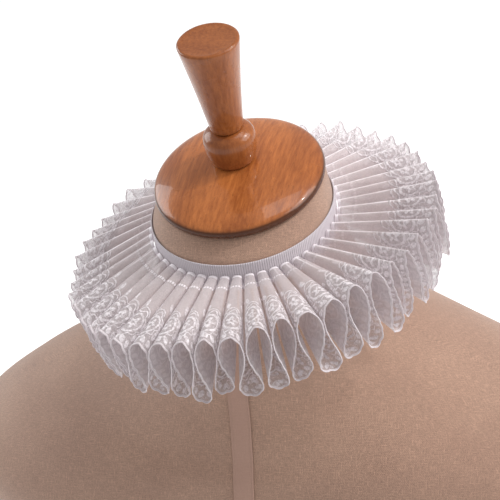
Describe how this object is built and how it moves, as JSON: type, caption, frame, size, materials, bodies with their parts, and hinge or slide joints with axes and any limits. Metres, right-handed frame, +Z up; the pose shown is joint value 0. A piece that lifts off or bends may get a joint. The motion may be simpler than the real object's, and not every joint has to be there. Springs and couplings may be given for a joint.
{
  "type": "ruff collar on dress form",
  "caption": "White pleated lace ruff collar on an elastic neck band, worn by a limbless linen dress form with a wooden neck cap and turned handle.",
  "frame": {"origin": "middle of the dress form's flat hip end, which is its base", "axes": "+Z up along the form, -Y towards the front of the form, +X towards the form's own left shoulder"},
  "size_m": [0.5028, 0.2682, 0.8043],
  "materials": {
    "lace": "sheer embroidered organza and net, white",
    "elastic": "ribbed white elastic",
    "linen": "plain beige linen weave",
    "linen_tape": "beige linen tape",
    "varnished_wood": "glossy orange-brown varnish",
    "handle_wood": "glossy orange-brown varnish"
  },
  "bodies": {
    "root": {"ruffle": "lace", "neck_band": "elastic", "form_torso": "linen", "front_tape": "linen_tape", "neck_cap": "varnished_wood", "finial_bead": "handle_wood", "finial_handle": "handle_wood"}
  },
  "joints": []
}
